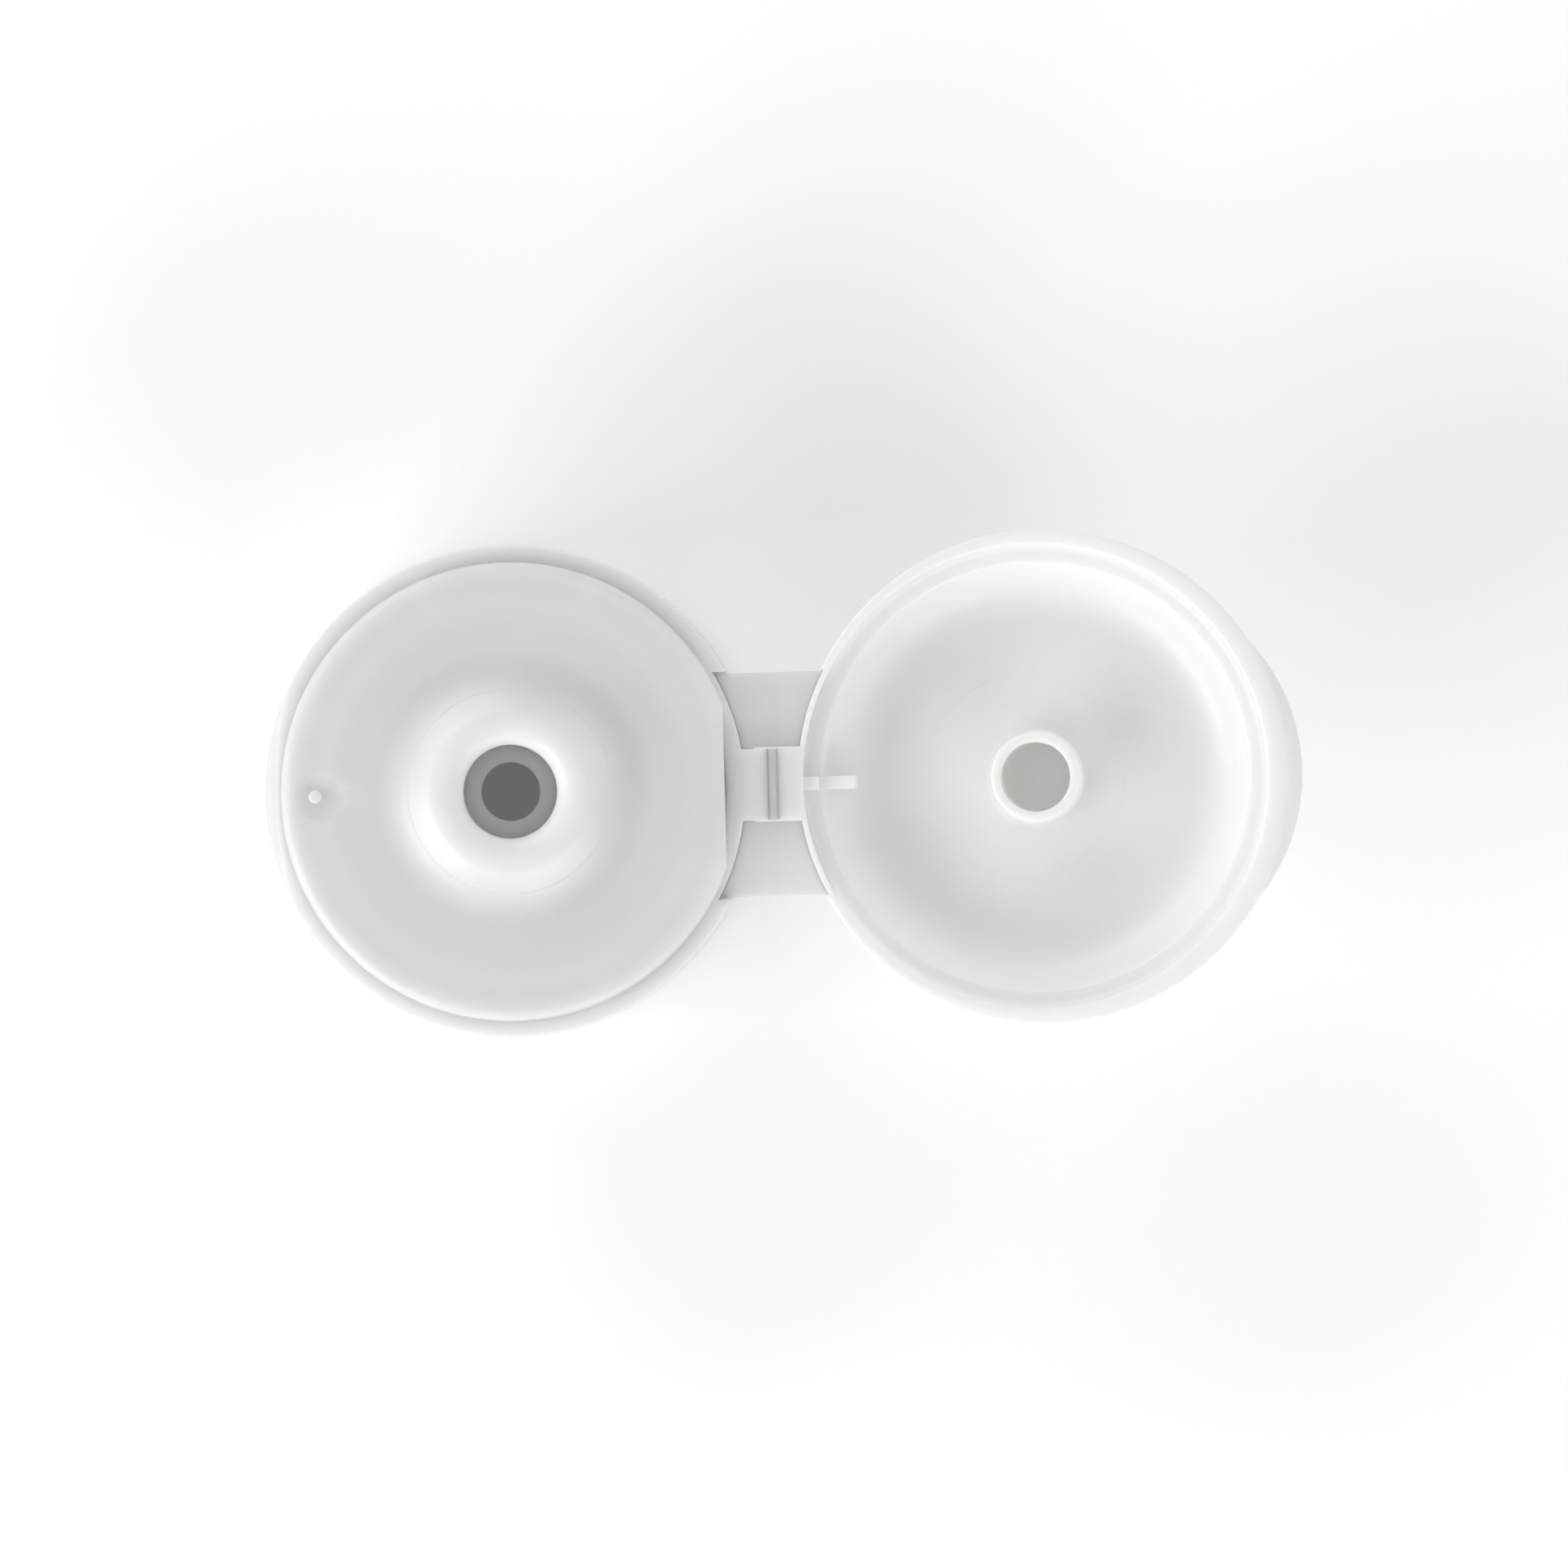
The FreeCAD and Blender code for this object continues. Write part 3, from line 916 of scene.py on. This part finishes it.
    def recess(self) -> bpy.types.Object:
        """The solid that is cut from the lid's wall at the hinge.

        Returns:
            The closed solid.
        """
        p = self.parting
        low, high = p.height - 0.5, p.rim + self.recess_depth
        inner, outer = p.lid_recess_radius, 20.0
        corners = [(inner, low, 0), (outer, low, 0), (outer, high, 0), (inner, high, 0)]
        return slab_window(turned("lid_recess", corners, 40, sweep=70, start=-35), p.hinge_width / 2)

    def strap(self) -> bpy.types.Object:
        """The lid's half of the strap.

        Returns:
            The closed solid.
        """
        p = self.parting
        root, tip = p.lid_recess_radius - 0.4, p.hinge_reach - p.film_width / 2
        low = p.under_lid_strap
        corners = [
            (root, low(root), 0),
            (tip, low(tip), 0.04),
            (tip, low(tip) + p.film_thickness, 0),
            (tip - 0.4, low(tip) + p.strap_thickness, 0.2),
            (p.lid_recess_radius, low(tip) + p.strap_thickness, 0),
            (root, low(tip) + p.strap_thickness, 0),
        ]
        return extruded("lid_strap", corners, -p.strap_width / 2, p.strap_width / 2)

    def build(self) -> list[bpy.types.Object]:
        """Make the lid shut, swing it open and let it ride on the lid's body.

        Returns:
            The finished piece.
        """
        lid = self.dome()
        combine(lid, self.lip(), Join.ADD)
        combine(lid, self.bowl(), Join.CUT)
        combine(lid, self.plug(), Join.ADD)
        combine(lid, self.rib(), Join.ADD)
        combine(lid, self.recess(), Join.CUT)
        combine(lid, self.strap(), Join.ADD)
        place(lid, self.parting.swing())
        smooth(lid)
        dress(lid, self.finish.build())
        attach(lid, "lid")
        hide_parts("lid")
        return [lid]


@dataclass
class ButterflyHinge:
    """What flexes: the film across the fold and the two trough-shaped wings beside the strap."""

    parting: Parting
    wing_drop: float = 0.9
    wing_thickness: float = 0.45
    valley_shift: float = 0.45
    valley_drop: float = 0.45
    slit: float = 0.12
    wall_overlap: float = 0.05
    rows: int = 12
    finish: WhitePolypropylene = field(
        default_factory=lambda: WhitePolypropylene("polypropylene_hinge", grain=0.02)
    )

    def film(self) -> bpy.types.Object:
        """The thin film across the fold.

        Returns:
            The closed solid.
        """
        p = self.parting
        tip = p.hinge_reach - p.film_width / 2
        turn = p.swing()

        def lid_point(height: float) -> tuple[float, float]:
            """Where a point of the lid's strap end lies when open."""
            spot = turn @ (Vector((tip, 0, height)) * MM)
            return spot.x / MM, spot.z / MM

        under = p.under_lid_strap(tip)
        top, low = lid_point(under), lid_point(under + p.film_thickness)
        middle = p.fold_height - 1.6 * p.fold_offset
        corners = [
            (tip, p.strap(tip), 0),
            (p.hinge_reach, middle, 0.5),
            (*top, 0),
            (*low, 0),
            (p.hinge_reach, middle - 0.8 * p.film_thickness, 0.4),
            (tip, p.strap(tip) - p.film_thickness, 0),
        ]
        return extruded("hinge_film_web", corners, -p.strap_width / 2, p.strap_width / 2)

    def inside(self, name: str, radius: float, top: float) -> bpy.types.Object:
        """A plain cylinder just inside a recessed wall, which trims a wing to that wall."""
        edge = radius - self.wall_overlap
        return turned(name, [(0, 5, 0), (edge, 5, 0), (edge, top, 0), (0, top, 0)])

    def wing(self, side: int) -> bpy.types.Object:
        """One wing, extruded in even rows away from the strap.

        Args:
            side: 1 for the wing at +Y, -1 for the one at -Y.

        Returns:
            The wing as a closed solid.
        """
        p = self.parting
        on_body = Vector((p.recess_radius, 0, p.shoulder(p.recess_radius) - self.wing_drop))
        shut = Vector((p.lid_recess_radius, 0, p.rim + self.wing_drop))
        on_lid = (p.swing() @ (shut * MM)) / MM
        valley = Vector((p.hinge_reach + self.valley_shift, 0, on_body.z - self.valley_drop))
        start = on_body + (on_body - valley).normalized() * 4
        end = on_lid + (on_lid - valley).normalized() * 4
        drop = self.wing_thickness
        corners = [
            (start.x, start.z, 0),
            (valley.x, valley.z, 0.9),
            (end.x, end.z, 0),
            (end.x, end.z - drop, 0),
            (valley.x, valley.z - drop, 0.9 + drop),
            (start.x, start.z - drop, 0),
        ]
        near, far = p.strap_width / 2 + self.slit, p.hinge_width / 2 - self.slit
        name = "hinge_wing_left_web" if side > 0 else "hinge_wing_right_web"
        piece = draw(name, rounded(corners, 4))
        bpy.ops.transform.translate(value=(0, side * near * MM, 0))
        bpy.ops.mesh.edge_face_add()
        step = (far - near) / self.rows * MM
        for _ in range(self.rows):
            bpy.ops.mesh.extrude_region_move(TRANSFORM_OT_translate={"value": (0, side * step, 0)})
        tidy(piece)
        combine(piece, self.inside("body_side", p.recess_radius, 25), Join.CUT)
        lid_side = self.inside("lid_side", p.lid_recess_radius, 30)
        place(lid_side, p.swing())
        return combine(piece, lid_side, Join.CUT)

    def build(self) -> list[bpy.types.Object]:
        """Make the film and wings, which lie between the two bodies and ride on neither.

        Returns:
            The finished pieces.
        """
        film, left, right = self.film(), self.wing(1), self.wing(-1)
        material = self.finish.build()
        for piece in (film, left, right):
            smooth(piece)
            dress(piece, material)
        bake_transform(film)
        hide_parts("hinge_film")
        for piece, node in ((left, "hinge_wing_left"), (right, "hinge_wing_right")):
            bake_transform(piece)
            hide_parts(node)
        return [film, left, right]


@dataclass
class Studio:
    """A white floor, four low soft lamps round the cap and a long lens from straight above."""

    frame_width: float = 120.4
    distance: float = 1500.0
    centre: tuple[float, float] = (21.0, 0.0)
    roll_deg: float = -1.6
    lamp_size: tuple[float, float] = (0.9, 0.35)
    aim: tuple[float, float, float] = (0.021, 0, 0.016)
    sky: float = 0.42
    lamps: tuple[tuple[str, float, float, float], ...] = (
        ("key", 210.0, 22.0, 6.0),
        ("fill_near", 300.0, 22.0, 3.5),
        ("fill_far", 120.0, 22.0, 3.0),
        ("fill_right", 30.0, 22.0, 1.8),
    )

    def camera(self) -> None:
        """Set up the camera that looks straight down."""
        data = bpy.data.cameras.new("camera")
        data.lens = data.sensor_width * self.distance / self.frame_width
        data.clip_start, data.clip_end = 0.1, 10.0
        camera = bpy.data.objects.new("camera", data)
        bpy.context.collection.objects.link(camera)
        camera.location = (self.centre[0] * MM, self.centre[1] * MM, (self.distance + 16) * MM)
        camera.rotation_euler = (0, 0, math.radians(self.roll_deg))
        bpy.context.scene.camera = camera

    def floor(self) -> None:
        """A large floor under the foot, white to the camera but for the cap's own shadow."""
        nothing_selected()
        bpy.ops.mesh.primitive_plane_add(size=6.0, location=(0, 0, -0.00002))
        floor = bpy.context.object
        floor.name = "floor"
        material = bpy.data.materials.new("floor_white")
        material.use_nodes = True
        nodes, link = material.node_tree.nodes, material.node_tree.links.new
        nodes.clear()
        out = nodes.new("ShaderNodeOutputMaterial")
        paper = nodes.new("ShaderNodeBsdfDiffuse")
        paper.inputs["Color"].default_value = (0.82, 0.82, 0.82, 1)
        bright = nodes.new("ShaderNodeBsdfDiffuse")
        bright.inputs["Color"].default_value = (1, 1, 1, 1)
        glow = nodes.new("ShaderNodeEmission")
        glow.inputs["Color"].default_value = (1, 1, 1, 1)
        glow.inputs["Strength"].default_value = 0.12
        add = nodes.new("ShaderNodeAddShader")
        link(bright.outputs[0], add.inputs[0])
        link(glow.outputs[0], add.inputs[1])
        path = nodes.new("ShaderNodeLightPath")
        seen = nodes.new("ShaderNodeMath")
        seen.operation = "MAXIMUM"
        link(path.outputs["Is Camera Ray"], seen.inputs[0])
        link(path.outputs["Is Glossy Ray"], seen.inputs[1])
        mix = nodes.new("ShaderNodeMixShader")
        link(seen.outputs[0], mix.inputs["Fac"])
        link(paper.outputs[0], mix.inputs[1])
        link(add.outputs[0], mix.inputs[2])
        link(mix.outputs[0], out.inputs["Surface"])
        floor.data.materials.append(material)

    def light(self) -> None:
        """Low wide soft lamps round the cap, at one height, and an even white surround."""
        world = bpy.data.worlds.new("surround")
        world.use_nodes = True
        back = world.node_tree.nodes["Background"]
        back.inputs["Color"].default_value = (1.0, 1.0, 1.0, 1)
        back.inputs["Strength"].default_value = self.sky
        bpy.context.scene.world = world
        for name, bearing, height, power in self.lamps:
            data = bpy.data.lights.new(name, "AREA")
            data.shape = "RECTANGLE"
            data.size, data.size_y = self.lamp_size
            data.energy = power
            lamp = bpy.data.objects.new(name, data)
            bpy.context.collection.objects.link(lamp)
            around, above = math.radians(bearing), math.radians(height)
            level = math.cos(above)
            direction = Vector((math.cos(around) * level, math.sin(around) * level, math.sin(above)))
            lamp.location = Vector(self.aim) + direction
            lamp.rotation_euler = direction.to_track_quat("Z", "Y").to_euler()

    def build(self) -> None:
        """Set up camera, floor and light."""
        self.camera()
        self.floor()
        self.light()
        bpy.context.scene.view_settings.view_transform = "Standard"


def main() -> None:
    """Build the closure on its frame and report each piece."""
    logging.basicConfig(level=logging.INFO, format="%(message)s")
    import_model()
    parting = Parting()
    Studio().build()
    for assembly in (ThreadedBody(parting), DomedLid(parting), ButterflyHinge(parting)):
        for piece in assembly.build():
            piece.data.calc_loop_triangles()
            LOG.info("%s: %d triangles", piece.name, len(piece.data.loop_triangles))


if __name__ == "__main__":
    main()
